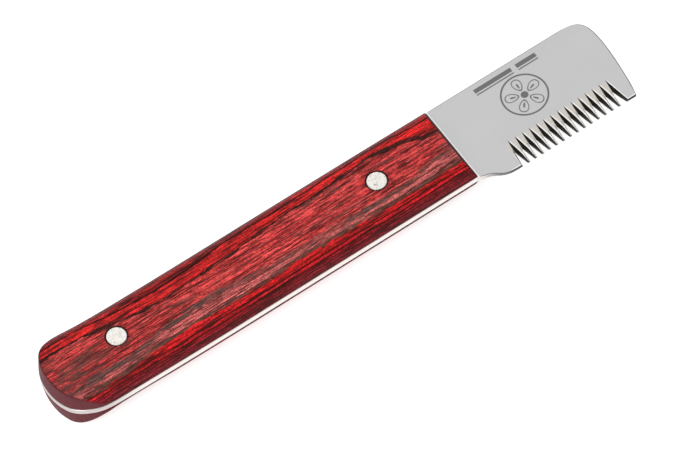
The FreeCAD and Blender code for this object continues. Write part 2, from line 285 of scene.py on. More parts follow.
def wood(name, seed, side):
    """Red-dyed laminated veneer under a clear satin lacquer. The veneers lie parallel to the
    scale's face: the land cuts them at a grazing angle, so their glue lines wander there as
    ragged veins, and the shoulders cut them steeply, as tight parallel lines. side is 1 or -1:
    the rear scale has the same pattern, turned end for end."""
    mat = Shader(name)
    point = mat.position()
    x, y, z = mat.xyz(point)
    depth = (SCALE_T + (FRONT_Z - REAR_Z) / 2) - abs(z - MID_Z)
    shifted = mat.vector("ADD", point, (seed * 37.0, seed * 11.0, seed * 5.0))
    along = x * float(side)

    def grain(*stretch, **options):
        return mat.noise(shifted, stretch, **options)

    def centred(noise, size):
        return (noise - 0.5) * size

    # signed height above each vein, made ragged by the same noise
    rag = centred(grain(0.20, 0.9, 0.9, detail=5.0, rough=0.68), 2.6)
    top, upper, lower, bottom = [
        along.curve(vein) for vein in (TOP_VEIN, UPPER_VEIN, LOWER_VEIN, BOTTOM_VEIN)]
    over_top = (y - top) + rag * 0.45
    over_upper = (y - upper) + rag
    over_lower = (y - lower) + rag * 1.5
    over_bottom = (y - bottom) + rag * 0.8

    # veneers by depth, wavering slowly and finely
    wavy_depth = depth + (centred(grain(0.03, 0.10, 0.1, detail=1.0), 0.34)
                          + centred(grain(0.12, 0.8, 0.8, detail=4.0, rough=0.6), 0.16))

    def ply(stops):
        share = mat.math("MULTIPLY", wavy_depth, 1 / PLY_DEPTH, clamp=True)
        return mat.ramp(share, [(at / PLY_DEPTH, rgb(*colour)) for at, colour in stops])

    low_ply = ply(LOW_PLY)
    top_ply = ply(TOP_PLY)

    # ground colour of each strip between the veins
    face = mat.mix(grain(0.045, 0.35, 0.4, detail=3.0, rough=0.6).soft(0.38, 0.62),
                   rgb(180, 52, 52), rgb(212, 70, 68))
    bright = mat.mix(grain(0.05, 0.5, 0.4, detail=3.0).fit(0.38, 0.58),
                     rgb(186, 34, 34), rgb(230, 40, 40))
    base = mat.mix(over_upper.fit(0.0, 0.35), face, bright)
    base = mat.mix(over_lower.soft(0.2, -0.8), base, rgb(190, 92, 90))
    base = mat.mix(over_top.fit(0.0, 0.25), base, top_ply)
    base = mat.mix(over_bottom.fit(0.0, -0.35), base, low_ply)

    # fibres: light and dark streaks along the grain, from broad to hair-fine and short
    broad = grain(0.05, 0.8, 0.8, detail=3.0, rough=0.6).swing(0.76, 1.24)
    medium = grain(0.12, 1.7, 1.7, detail=3.0, rough=0.65).swing(0.74, 1.26)
    fine_noise = grain(0.40, 3.2, 3.2, detail=2.0, rough=0.7)
    fine = fine_noise.swing(0.52, 1.48)
    short = grain(2.2, 3.4, 3.4, detail=1.0).swing(0.52, 1.48)
    light = (broad * medium) * (fine * short)
    base = mat.mix(1.0, base, mat.join(light, light, light), "MULTIPLY")

    # pale fibres where the dye is thin, mostly on the land
    pale = grain(0.14, 3.4, 3.4, detail=3.0, rough=0.7).soft(0.53, 0.66)
    patch = grain(0.06, 0.45, 0.5, detail=3.0, rough=0.6).soft(0.40, 0.60, low=0.25)
    land = over_upper.fit(0.2, -0.2, low=0.12) * over_bottom.fit(-0.2, 0.2, low=0.10)
    base = mat.mix((pale * patch) * (land * 0.66), base, rgb(232, 120, 116))

    # vessels: thin dark lines that wander along the grain and come and go
    def vessel(along_f, across_f, level, width, gate_f, start, full):
        line = abs(grain(along_f, across_f, across_f, detail=1.0) - level)
        gate = grain(gate_f, gate_f * 9, gate_f * 9, detail=3.0).soft(start, full)
        return line.soft(width * 0.3, width, low=1.0, high=0.0) * gate

    pore = vessel(0.030, 1.3, 0.5, 0.042, 0.10, 0.42, 0.48).max(
        vessel(0.045, 2.2, 0.47, 0.062, 0.15, 0.44, 0.50))
    pore = pore.max(vessel(0.07, 3.0, 0.52, 0.085, 0.2, 0.46, 0.52) * 0.85)
    base = mat.mix(pore * 0.92, base, rgb(54, 18, 16))

    # browner where the dye took badly: ragged patches of broken fibres, more towards x = -60
    # in the pattern's own direction
    fibres = grain(0.22, 3.0, 3.0, detail=3.0, rough=0.65)
    broken = fibres.soft(0.42, 0.54, low=0.15)
    reach = along.soft(-34.0, -46.0, high=0.115)
    blot = (grain(0.075, 0.42, 0.5, detail=4.0, rough=0.65) + reach).soft(0.55, 0.64)
    base = mat.mix((blot * land) * (broken * 0.72), base, rgb(88, 56, 52))

    spots = None
    for spot_x, spot_y, half_length, half_width in SPOTS:
        dx, dy = (along - spot_x) * (1.0 / half_length), (y - spot_y) * (1.0 / half_width)
        ellipse = dx * dx + dy * dy
        spots = ellipse if spots is None else spots.min(ellipse)
    spots = (spots + centred(grain(0.3, 1.6, 1.6, detail=4.0, rough=0.7), 3.0)).soft(1.35, 0.45)
    base = mat.mix((spots * land) * (broken * 0.80), base,
                   mat.mix(fine_noise.fit(0.38, 0.64), rgb(62, 36, 32), rgb(112, 70, 64)))

    # two feathery grey-brown veins below
    feather = fibres.soft(0.38, 0.52, low=0.55)
    fading = feather * grain(0.06, 0.1, 0.1, detail=2.0).fit(0.38, 0.52, low=0.65)
    base = mat.mix((over_lower.band(core=0.25, edge=1.0) * fading) * 0.92, base,
                   mat.mix(fine_noise.fit(0.38, 0.66), rgb(46, 38, 34), rgb(108, 84, 78)))
    base = mat.mix((over_bottom.band(core=0.22, edge=0.66) * feather) * 0.92, base,
                   mat.mix(fine_noise.fit(0.38, 0.66), rgb(44, 28, 22), rgb(100, 68, 58)))

    # the ragged black vein above them, of varying width
    width = grain(0.07, 0.12, 0.1, detail=2.0).fit(0.38, 0.60, low=0.34, high=0.85)
    upper_mask = (abs(over_upper) / width).soft(0.45, 1.0, low=1.0, high=0.0)
    base = mat.mix(upper_mask * fibres.fit(0.34, 0.46, low=0.60), base,
                   mat.mix(fine_noise.fit(0.4, 0.6), rgb(28, 9, 8), rgb(62, 30, 26)))

    # dusky strip between the top vein and the extra one, then both as thin dark lines
    over_extra = (y - along.curve(EXTRA_VEIN)) + rag * 0.5
    between = over_extra.fit(0.2, -0.2) * over_top.fit(-0.1, 0.1)
    dusk = between * (along.fit(-38.0, -30.0) * along.fit(4.0, -6.0))
    base = mat.mix(dusk * fibres.fit(0.38, 0.6, low=0.75, high=0.2), base, rgb(60, 14, 16))
    base = mat.mix(over_extra.band(core=0.08, edge=0.24) * 0.8, base, rgb(38, 8, 8))
    base = mat.mix(over_top.band(core=0.16, edge=0.36) * 0.96, base, rgb(34, 6, 6))

    # a dark ring round each rivet seat, partly oil and dust and partly painted shade of the gap
    # round the rivet
    for rivet in RIVETS:
        seat = rivet_distance(x, y, rivet).fit(3.02, 2.84)
        base = mat.mix(seat * 0.88, base, rgb(26, 10, 9))

    # end grain round the butt takes the dye dark and even; the front end is darker still
    normal_x, _, normal_z = mat.xyz(mat.normal())
    steep = abs(normal_z).soft(0.90, 0.62)
    butt = steep * (x.soft(-46.5, -52.0) * normal_x.soft(-0.08, -0.30))
    front_end = normal_x.soft(0.25, 0.6) * x.fit(JOINT_X - 4, JOINT_X - 3)
    dots = grain(1.2, 2.2, 6.0, detail=4.0, rough=0.7)
    end_grain = mat.mix(dots.fit(0.35, 0.65), rgb(84, 34, 40), rgb(114, 54, 60))
    base = mat.mix(butt, base, end_grain)
    base = mat.mix(front_end, base, rgb(58, 12, 16))
    # painted shade on the rounded rim of the butt, found by its slope
    rim = abs(normal_z).fit(0.97, 0.90) * abs(normal_z).fit(0.62, 0.74)
    rim = rim * (x.fit(-50.0, -54.0) * normal_x.fit(-0.1, -0.25))
    base = mat.mix(rim * 0.55, base, rgb(48, 8, 12))

    # lacquer: thin ripples over the pores, a little dulled by handling
    coat_height = fine_noise * 0.5 + pore * -0.5
    wood_normal = mat.bump(fine_noise + pore * -1.2, distance=0.00004, strength=0.7)
    coat_normal = mat.bump(coat_height + grain(0.12, 0.5, 0.5, detail=2.0),
                           distance=0.00003, strength=0.5)
    rub = grain(0.25, 0.4, 0.4, detail=5.0, rough=0.65)
    return mat.principled(
        Base_Color=base, Roughness=fine_noise.swing(0.48, 0.66), IOR=1.45,
        Specular_IOR_Level=0.05, Coat_Weight=0.10,
        Coat_Roughness=rub.fit(0.35, 0.7, low=0.14, high=0.28), Coat_IOR=1.45,
        Normal=wood_normal, Coat_Normal=coat_normal)


# ---------------------------------------------------------------- steel
# Lines beside each notch for the painted shade and highlights along its edges: (y, distance from
# the notch's middle line).
SHADE_LIMIT_LINE = [(-15.0, 0.97), (-13.8, 0.92), (-13.0, 0.87), (-12.2, 0.82), (-11.4, 0.71),
             (-10.6, 0.60), (-9.8, 0.50), (-9.0, 0.37), (-8.2, 0.24), (-7.4, 0.12), (-6.8, 0.05)]
DARK_EDGE_LINE = [(-15.0, 0.96), (-13.8, 0.95), (-13.0, 0.88), (-12.2, 0.82), (-11.4, 0.75),
             (-10.6, 0.66), (-10.0, 0.60), (-6.8, 0.50)]
# Outline of the nose: (y, distance beyond JOINT_X + 40).
NOSE_LINE = [(-15, 3.6), (-12.4, 3.92), (-9.2, 4.42), (-5.6, 4.86), (-2.2, 5.18), (1.6, 5.4),
             (5.2, 5.32), (7.1, 5.06), (8.7, 4.48), (9.9, 3.5), (10.68, 2.1), (11.06, 0.4),
             (15, -12)]


def steel():
    """Satin sheet steel: fine lengthwise brushing on the flats, notch walls dark with ground oxide
    and painted shade, a painted highlight on the tooth bevels, and painted lines of shade and
    highlight along the teeth and cut edges."""
    mat = Shader("blade_satin_steel")
    point = mat.position()
    x, y, z = mat.xyz(point)
    normal_x, normal_y, normal_z = mat.xyz(mat.normal())
    brush = mat.noise(point, (0.35, 14.0, 14.0), detail=4.0, rough=0.6)
    cloud = mat.noise(point, (0.05, 0.09, 0.09), detail=4.0, rough=0.6)
    grind = mat.noise(point, (2.0, 2.0, 9.0), detail=4.0, rough=0.7)
    grey = 0.615 + (brush.swing(-0.014, 0.014) + cloud.swing(-0.012, 0.012))
    colour = mat.join(grey, grey, grey * 1.012)

    def beyond(start, full, **levels):
        """Mask along x, measured from the scales' front end."""
        return x.fit(JOINT_X + start, JOINT_X + full, **levels)

    flat = abs(normal_z)
    front = normal_z.fit(0.5, 0.8)
    in_blade = beyond(0.3, 1.0)
    comb = x.fit(NOTCH_X - 1.2, NOTCH_X - 1.0) * x.fit(LAST_NOTCH_X + 2.3, LAST_NOTCH_X + 2.1)

    # tooth faces: warmer where they were ground, then a painted highlight on the bevel
    near = x.fit(LAST_NOTCH_X + 0.9, LAST_NOTCH_X - 0.3)
    teeth = (comb * near) * (y.soft(-7.0, -8.2) * front)
    colour = mat.mix(teeth * 0.9, colour,
                     mat.mix(grind.swing(), rgb(206, 199, 188), rgb(222, 217, 208)))
    bevel = (comb * normal_y.fit(-0.04, -0.07)) * normal_z.fit(0.85, 0.93)
    colour = mat.mix(bevel * 0.6, colour, rgb(236, 233, 228))

    # x within a notch's pitch, zero at its middle line; four extra pitches keep it positive
    across = (((x - NOTCH_X) + (NOTCH_PITCH / 2 + NOTCH_PITCH * 4)) % NOTCH_PITCH
              - NOTCH_PITCH / 2)
    beside = (comb * front) * y.fit(-7.3, -7.8)
    before_last = x.fit(LAST_NOTCH_X + 0.05, LAST_NOTCH_X - 0.05)
    beside = beside * before_last
    speck = mat.noise(point, (1.0, 2.6, 1.0), detail=1.0)

    # painted shade, black, from the middle line out to the shade limit at +X, with a painted
    # highlight line beyond it;
    # towards -X a dashed dark line of painted shade, and painted light, pale, between it and the
    # middle line
    shade_limit = y.curve(SHADE_LIMIT_LINE, span=16.0, top=1.5)
    dark_edge = y.curve(DARK_EDGE_LINE, span=16.0, top=1.5)
    outer_part = y.fit(-10.0, -10.5)
    black = (shade_limit - across).fit(-0.03, 0.03) * across.fit(0.0, 0.02)
    dark_edge_shade = ((abs(across + dark_edge).fit(0.06, 0.11, low=1.0, high=0.0) * outer_part)
                 * speck.fit(0.42, 0.50, low=0.55))
    pale_light_strip = ((across + dark_edge).fit(0.06, 0.11) * across.fit(-0.02, -0.1)) * outer_part
    edge_highlight = abs(across - (shade_limit + 0.17)).fit(0.10, 0.16, low=1.0, high=0.0)
    for mask, strength, tint in (
            (black, 0.96, rgb(20, 18, 16)), (pale_light_strip, 0.9, rgb(250, 249, 246)),
            (edge_highlight, 0.95, rgb(255, 255, 254)), (dark_edge_shade, 0.90, rgb(96, 92, 86))):
        colour = mat.mix((mask * beside) * strength, colour, tint)

    # painted highlight: a bright line along the far side of the last notch and the blade's lower
    # edge
    slope = (JOINT_X + 41.0 - LAST_NOTCH_X - 0.05) / (ROOT_Y - EDGE_Y)
    off = x - ((LAST_NOTCH_X + 0.05) + (ROOT_Y - y) * slope)
    last_side = ((off.fit(-0.02, 0.02) * off.fit(0.30, 0.20))
                 * (y.fit(-7.2, -7.6) * x.fit(LAST_NOTCH_X, LAST_NOTCH_X + 0.1)))
    foot = y.fit(EDGE_Y + 0.42, EDGE_Y + 0.30) * (
        beyond(6.8, 7.6) * beyond(10.3, 10.2)).max(beyond(40.9, 41.0))
    colour = mat.mix((last_side.max(foot) * front) * 0.92, colour, rgb(255, 255, 255))

    # painted shade: the front face is darker along the rims of the back and nose
    nose_x = y.curve(NOSE_LINE, span=15.0) + (JOINT_X + 40.0)
    rim_shade = (x - nose_x).fit(-0.30, -0.20).max(
        y.fit(BACK_Y - 0.30, BACK_Y - 0.20) * beyond(40.0, 38.0, high=0.55))
    colour = mat.mix((rim_shade * (front * in_blade)) * 0.8, colour, rgb(104, 104, 106))

    # cut edges: a painted highlight makes them pale along the tang; painted shade makes them darker
    # round the blade, darkest at the corners, under the nose, at the heel and on the nose's +X side
    edge = flat.fit(0.72, 0.86, low=1.0, high=0.0)
    shade = x.soft(JOINT_X - 1.0, JOINT_X + 5.5)
    tang_cut = mat.mix(grind.swing(), rgb(216, 209, 205), rgb(240, 234, 230))
    tang_cut = mat.mix(x.soft(-38.0, -50.0, high=0.8), tang_cut, rgb(186, 176, 175))
    blade_cut = mat.mix(grind.swing(), rgb(96, 96, 98), rgb(136, 136, 138))
    cut = mat.mix(shade, tang_cut, blade_cut)
    corner = flat.fit(0.25, 0.5) * in_blade
    cut = mat.mix(corner * 0.8, cut, rgb(58, 58, 60))
    under_nose = beyond(40.8, 41.2) * normal_y.fit(-0.3, -0.6)
    cut = mat.mix(under_nose, cut, rgb(34, 33, 32))
    sides = (beyond(43.0, 43.4) * normal_x.fit(0.4, 0.6)).max(
        (beyond(6.6, 7.4) * beyond(10.6, 10.4)) * y.fit(-8.0, -9.0))
    cut = mat.mix(sides * 0.85, cut, rgb(54, 54, 54))
    colour = mat.mix(edge, colour, cut)

    # notch walls, darkened partly by ground oxide and partly by painted shade: black at the corners
    # and dull olive inside
    notch = (edge * comb) * (abs(normal_x).fit(0.70, 0.80) * y.fit(-6.6, -7.0))
    core = abs(z - (MID_Z - 0.05)).soft(0.66, 0.36)
    wall = mat.mix(core * grind.fit(0.30, 0.60), rgb(10, 9, 8), rgb(64, 59, 48))
    # painted light: bright at the shallow end of each notch's floor, which slants with depth
    sunk = (MID_Z + 0.9) - z
    run_y = y - sunk * 0.556
    run_x = across - sunk * 0.274
    shallow = -0.045 - (ROOT_Y - run_y) * 0.062
    floor_lit = ((shallow - run_x).fit(-0.02, 0.03) * run_y.fit(-11.0, -10.7)) * before_last
    wall = mat.mix(floor_lit, wall, rgb(236, 232, 224))
    colour = mat.mix(notch, colour, wall)
    dark_cut = (edge * shade).max(notch)

    # a painted highlight: a narrow white strip on the blade along the scales' front end
    strip = (beyond(0.34, 0.26) * beyond(-0.1, 0.0)) * front
    colour = mat.mix(strip * 0.9, colour, rgb(255, 255, 255))

    # hairline scratches and the cut edges are rougher; the cuts are less metallic too
    hair = abs(mat.noise(point, (0.03, 1.7, 1.7), detail=1.0) - 0.5)
    hair = hair.fit(0.0, 0.004, low=1.0, high=0.0)
    rough = brush.swing(0.30, 0.38) + hair * 0.05
    rough = rough + dark_cut * 0.22
    height = brush + (grind * edge) * 2.0
    metallic = 1.0 - dark_cut.max(bevel.max(strip)) * 0.5
    return mat.principled(Base_Color=colour, Metallic=metallic, Roughness=rough,
                          Normal=mat.bump(height, distance=0.000006, strength=0.5))


# ---------------------------------------------------------------- small parts' materials
def rivet_metal():
    """Soft white metal ground flush by hand: mottled, with crossing scratches and a darker rim."""
    mat = Shader("rivet_ground_metal")
    point = mat.position()
    x, y, z = mat.xyz(point)
    warp = mat.noise(point, (0.9, 0.9, 0.9), detail=3.0, rough=0.6)

    def warped():
        return mat.vector("ADD", point, mat.join(warp, warp, 0.0))

    mottle = mat.noise(warped(), scale=1.5, detail=5.0, rough=0.7, distort=1.2)
    turned = mat.join(x + y, x - y, z)
    scratch_a = mat.noise(turned, (0.5, 7.0, 1.0), detail=3.0, rough=0.6)
    scratch_b = mat.noise(point, (0.7, 8.0, 1.0), detail=3.0, rough=0.6)
    first, second = [rivet_distance(x, y, rivet) for rivet in RIVETS]
    post_r = RIVETS[0][2]
    rim = first.min(second).soft(post_r - 0.20, post_r - 0.02)

    colour = mat.mix(mottle.fit(0.36, 0.60), rgb(247, 241, 232), rgb(255, 253, 248))
    # wandering dark scribbles where the warped noise crosses its middle
    scribble = mat.noise(warped(), scale=0.95, detail=2.0, distort=1.6)
    scribble = abs(scribble - 0.5).fit(0.008, 0.040, low=1.0, high=0.0)
    scribble = scribble * mottle.fit(0.40, 0.54, low=0.15)
    colour = mat.mix(scribble * 0.80, colour, rgb(120, 118, 110))
    colour = mat.mix(mottle.fit(0.58, 0.68, high=0.45), colour, rgb(170, 168, 160))
    colour = mat.mix(rim * 0.40, colour, rgb(120, 112, 104))
    height = mottle * 1.6 + (scratch_a * 0.5 + scratch_b * 0.5)
    return mat.principled(Base_Color=colour, Metallic=0.92, Roughness=mottle.swing(0.34, 0.50),
                          Normal=mat.bump(height, distance=0.00003, strength=0.6))


def glue():
    """Cured epoxy at the seams, dark with wood dust."""
    mat = Shader("seam_epoxy")
    point = mat.position()
    streak = mat.noise(point, (0.8, 2.0, 6.0), detail=5.0, rough=0.7)
    dust = mat.noise(point, (3.0, 3.0, 3.0), detail=3.0)
    colour = mat.mix(streak.fit(0.35, 0.65), rgb(22, 8, 9), rgb(58, 22, 24))
    colour = mat.mix(dust.fit(0.58, 0.7, high=0.4), colour, rgb(96, 50, 46))
    return mat.principled(Base_Color=colour, Roughness=streak.swing(0.35, 0.6),
                          Normal=mat.bump(streak, distance=0.00002, strength=0.5))


def etch():
    """Laser-darkened steel of the plain mark."""
    mat = Shader("etched_mark")
    point = mat.position()
    grit = mat.noise(point, (4.0, 4.0, 4.0), detail=4.0, rough=0.7)
    scan = mat.noise(point, (0.6, 11.0, 1.0), detail=2.0)
    colour = mat.mix(grit.fit(0.35, 0.65), rgb(92, 92, 93), rgb(122, 122, 123))
    colour = mat.mix(scan.fit(0.45, 0.6, high=0.3), colour, rgb(80, 80, 82))
    return mat.principled(Base_Color=colour, Metallic=0.35, Roughness=grit.swing(0.5, 0.68),
                          Normal=mat.bump(grit, distance=0.000006, strength=0.4))


FRONT_WOOD = wood("dyed_laminate_front", seed=0.0, side=1)
REAR_WOOD = wood("dyed_laminate_rear", seed=3.0, side=-1)
STEEL = steel()
RIVET_METAL = rivet_metal()
GLUE = glue()
ETCH = etch()


def dress(ob, material):
    """Give every slot of an object the material."""
    if not ob.data.materials:
        ob.data.materials.append(material)
    for slot in ob.material_slots:
        slot.material = material


def link(ob):
    SCENE.collection.objects.link(ob)
    return ob


def bmesh_object(name, bm):
    """Turn a bmesh into a linked object, with its faces turned outwards."""
    bmesh.ops.recalc_face_normals(bm, faces=bm.faces[:])
    mesh = bpy.data.meshes.new(name)
    bm.to_mesh(mesh)
    bm.free()
    return link(bpy.data.objects.new(name, mesh))


# ---------------------------------------------------------------- the scales' shape
# Half widths of a scale: x, towards -Y, towards +Y.
WIDTHS = [
    (JOINT_X + 4, 11.25, 11.00), (36.0, 11.32, 11.15), (12.0, 11.38, 11.20),
    (-12.0, 11.43, 11.21), (-26.0, 11.37, 11.28), (-45.0, 11.15, 11.80), (-50.0, 11.35, 12.25),
    (-60.0, 11.35, 12.25)]
# Outline round the butt, from the -Y side to the +Y side: x, y.
BUTT_START, BUTT_END = -45.0, -57.85
BUTT = np.array([
    (BUTT_START, -11.15), (-47.0, -11.06), (-49.0, -10.82), (-51.1, -10.20), (-53.1, -9.20),
    (-54.98, -7.86), (-56.28, -6.24), (-57.1, -4.34), (-57.64, -2.30), (BUTT_END, 0.1),
    (-57.72, 2.45), (-57.28, 4.65), (-56.48, 6.68), (-55.28, 8.45), (-53.7, 9.80),
    (-51.8, 10.80), (-49.8, 11.42), (-47.5, 11.74), (BUTT_START, 11.80)])
# Section of a shoulder: inset from the side, height above the inner face.
SHOULDER = np.array([
    (0.0, 0.20), (0.50, 1.50), (1.30, 2.70), (2.40, 3.90), (3.60, 4.65), (5.40, 5.13),
    (7.40, 5.20)])
SIDE_LEAN = 0.3                       # inset per height where the shoulder starts
FOOT_H = 0.2                          # height of the small break above the inner face
SEAM = 0.15                           # how far that break cuts in
END_RAKE, BUTT_RAKE = 0.35, 0.12      # lean of the front and butt faces per height
END_ROUND, BUTT_ROUND = 0.45, 0.60    # radii over those faces
END_ANGLES = [12, 26, 40, 54, 68, 80, 90]       # steps round the front end, degrees
SEAT_R, SEAT_T, HOLE_R = 2.68, 1.2, 1.80        # rivet counterbore and hole
HOLE_SIDES = 96
SHARP_ANGLE = math.radians(38)
# Distances of the rows from the butt's rim; rows ROW_STEP apart carry on to the front end.
ROWS = [0, .03, .08, .14, .21, .29, .38, .48, .6, .75, .95, 1.2, 1.5, 1.9, 2.4, 3.0, 3.8, 4.8,
        6.0, 7.5, 9.2]
ROW_STEP, LAST_GAP = 1.9, 2.6


def hermite(xs, ys, start_slope=None, end_slope=None):
    """Smooth cubic through the points, xs rising."""
    xs, ys = np.array(xs, float), np.array(ys, float)
    steps = np.diff(xs)
    chords = np.diff(ys) / steps
    slopes = np.zeros(len(xs))
    slopes[1:-1] = (chords[:-1] * steps[1:] + chords[1:] * steps[:-1]) / (xs[2:] - xs[:-2])
    slopes[0] = chords[0] if start_slope is None else start_slope
    slopes[-1] = chords[-1] if end_slope is None else end_slope

    def curve(x):
        x = np.asarray(x, float)
        i = np.clip(np.searchsorted(xs, x, side="right") - 1, 0, len(xs) - 2)
        step = xs[i + 1] - xs[i]
        t = np.clip((x - xs[i]) / step, 0, 1)
        return ((2 * t**3 - 3 * t**2 + 1) * ys[i] + (t**3 - 2 * t**2 + t) * step * slopes[i]
                + (-2 * t**3 + 3 * t**2) * ys[i + 1] + (t**3 - t**2) * step * slopes[i + 1])

    return curve


def trace(points, samples, start, end):
    """Sample a smooth line through points by length, with the given end directions."""
    lengths = np.concatenate([[0], np.cumsum(np.hypot(*np.diff(points, axis=0).T))])
    at = np.linspace(0, lengths[-1], samples)
    columns = [hermite(lengths, points[:, i], start[i], end[i])(at) for i in range(2)]
    return at, columns[0], columns[1]


stations = sorted(WIDTHS)
low_width = hermite([row[0] for row in stations], [row[1] for row in stations])
high_width = hermite([row[0] for row in stations], [row[2] for row in stations])
_lean = math.hypot(SIDE_LEAN, 1)
SHOULDER_AT, SHOULDER_IN, SHOULDER_UP = trace(
    SHOULDER, 3000, (SIDE_LEAN * (1 / _lean), 1 / _lean), (1.0, 0.0))
_, BUTT_X, BUTT_Y = trace(BUTT, 6000, (-1.0, 0.02), (1.0, -0.02))


def half_width(x, side):
    """Half width at x, on the side given by a sign."""
    return np.where(np.asarray(side) < 0, low_width(x), high_width(x))


def crown(x, y):
    """Height of the crowned top above the inner face."""
    inset = half_width(x, y) - np.abs(y)
    return np.minimum(np.interp(inset, SHOULDER_IN, SHOULDER_UP,
                                left=SHOULDER_UP[0], right=SHOULDER_UP[-1]), SCALE_T)


def butt_lean(height, back):
    return (BUTT_RAKE * height - 0.02 * np.clip(height * 5 - 1, 0, 1)) * back


def scale_grid():
    """Points (x, y, height above the inner face) of a scale: the butt's wall, the rows over the
    top and round the front end, the front face, and the inner face's low and high sides."""
    # columns, as shares of the half width: close over the shoulders, wider over the land
    inset = np.interp(np.linspace(0, SHOULDER_AT[-1], 38), SHOULDER_AT, SHOULDER_IN)
    low_mid, high_mid = float(low_width(0.0)), float(high_width(0.0))
    low_side, high_side = -(low_mid - inset) / low_mid, (high_mid - inset) / high_mid
    land = np.linspace(low_side[-1], high_side[-1], 24)[1:-1]
    share = np.concatenate([low_side, land, high_side[::-1]])
    count = len(share)

    # where each column meets the butt's outline, and its rounded rim above
    butt_x = np.interp(share, BUTT_Y / half_width(BUTT_X, BUTT_Y), BUTT_X)
    butt_y = share * half_width(butt_x, share)
    back = np.clip((BUTT_START - butt_x) / (BUTT_START - BUTT_END), 0, 1)
    height = crown(butt_x, butt_y)
    rounding = BUTT_ROUND * np.clip((height - 0.25) / 1.4, 0, 1)
    rim_h = np.maximum(height - rounding, FOOT_H)
    rim_x = butt_x + butt_lean(rim_h, back)
    # the rim as a fine line, for distances from it
    fine = np.linspace(0, count - 1, 2400)
    line_x, line_y, line_round = (
        np.interp(fine, np.arange(count), a) for a in (rim_x, butt_y, rounding))

    end_h = crown(JOINT_X - 2.0, share * half_width(JOINT_X - 2.0, share))
    end_x = JOINT_X - END_RAKE * end_h - END_ROUND
    total = float(end_x[count // 2] - rim_x[count // 2])
    offsets = list(ROWS)
    while offsets[-1] < total - LAST_GAP:
        offsets.append(offsets[-1] + ROW_STEP)
    offsets.append(total)

    rows, lows, highs = [], [], []
    for offset in offsets:
        x = rim_x + (end_x - rim_x) * (offset / total)
        y = share * half_width(x, share)
        height = crown(x, y)
        if offset < 9.0:
            squares = (x[:, None] - line_x[None]) ** 2 + (y[:, None] - line_y[None]) ** 2
            nearest = squares.argmin(1)
            gap, radius = np.sqrt(squares[np.arange(count), nearest]), line_round[nearest]
            if offset == 0:
                gap[:] = 0
            t = np.clip(1 - gap / np.maximum(radius, 1e-6), 0, 1)
            height = height - radius * (1 - np.sqrt(np.clip(1 - t * t, 0, 1)))
        rows.append(np.stack([x, y, np.maximum(height, FOOT_H)], 1))
        lows.append((x[0], y[0] + SEAM, 0.0))
        highs.append((x[-1], y[-1] - SEAM, 0.0))

    # front end, rounded over into the raked face
    end_y = share * half_width(JOINT_X, share)
    dy, dh = np.gradient(end_y), np.gradient(end_h)
    length = np.hypot(dy, dh)
    inward_y, inward_h = dh / length, -dy / length
    inward_y[share > 0.9] = -np.abs(inward_y[share > 0.9])
    for angle in np.radians(END_ANGLES):
        drop = END_ROUND * (1 - math.cos(angle))
        short = END_ROUND * (1 - math.sin(angle))
        y = end_y + inward_y * drop
        height = np.maximum(end_h + inward_h * drop, FOOT_H)
        rows.append(np.stack([JOINT_X - END_RAKE * height - short, y, height], 1))
        lows.append((JOINT_X - short, y[0] + SEAM, 0.0))
        highs.append((JOINT_X - short, y[-1] - SEAM, 0.0))

    end_row = rows[-1]
    face = []
    for part in (0.8, 0.6, 0.4, 0.2, 0.0):
        height, y = end_row[:, 2] * part, end_row[:, 1]
        if part:
            height = np.maximum(height, FOOT_H)
        else:
            y = np.clip(y, lows[-1][1], highs[-1][1])
        face.append(np.stack([JOINT_X - END_RAKE * height, y, height], 1))

    # butt wall, from the broken edge underneath up to the rim
    foot_y = butt_y - SEAM * np.sign(butt_y) * np.minimum(1, np.abs(butt_y) / 8.0)
    wall = [np.stack([butt_x + SEAM * back, foot_y, np.zeros(count)], 1)]
    for part in (0.0, 0.15, 0.35, 0.55, 0.75, 0.9):
        height = FOOT_H + np.maximum(rim_h - FOOT_H, 0) * part
        wall.append(np.stack([butt_x + butt_lean(height, back), butt_y, height], 1))
    return wall, rows, face, lows, highs


WALL, TOP_ROWS, END_FACE, LOW_SIDE, HIGH_SIDE = scale_grid()


def add_face(bm, *verts):
    """Add a face, dropping repeated corners."""
    verts = list(dict.fromkeys(verts))
    if len(verts) > 2:
        bm.faces.new(verts)


def scale_body(name, level):
    """The closed quad grid of a scale. level gives z from height above the inner face."""
    bm = bmesh.new()

    def place(points):
        return [bm.verts.new((p[0] * MM, p[1] * MM, level(p[2]) * MM)) for p in points]

    grid = [place(row) for row in WALL + TOP_ROWS + END_FACE]
    count = len(grid[0])
    for near, far in zip(grid, grid[1:]):
        for j in range(count - 1):
            add_face(bm, near[j], far[j], far[j + 1], near[j + 1])

    low, high = place(LOW_SIDE), place(HIGH_SIDE)
    last = len(low) - 1 - len(END_ANGLES)      # where the front end's rounding starts
    for i in range(len(low) - 1):
        near, far = grid[len(WALL) + i], grid[len(WALL) + i + 1]
        add_face(bm, near[0], low[i], low[i + 1], far[0])
        add_face(bm, near[-1], far[-1], high[i + 1], high[i])
        if i < last:
            add_face(bm, low[i], high[i], high[i + 1], low[i + 1])
    # the last of the inner face, sewn to every point along the front end's foot
    add_face(bm, low[last], *high[last:], *grid[-1][-2:0:-1], *low[:last:-1])
    foot = grid[0]
    for j in range(count // 2):
        add_face(bm, foot[j], foot[j + 1], foot[count - 2 - j], foot[count - 1 - j])
    bmesh.ops.remove_doubles(bm, verts=bm.verts[:], dist=2e-6)
    bmesh.ops.dissolve_degenerate(bm, edges=bm.edges[:], dist=1e-6)
    return bmesh_object(name, bm)


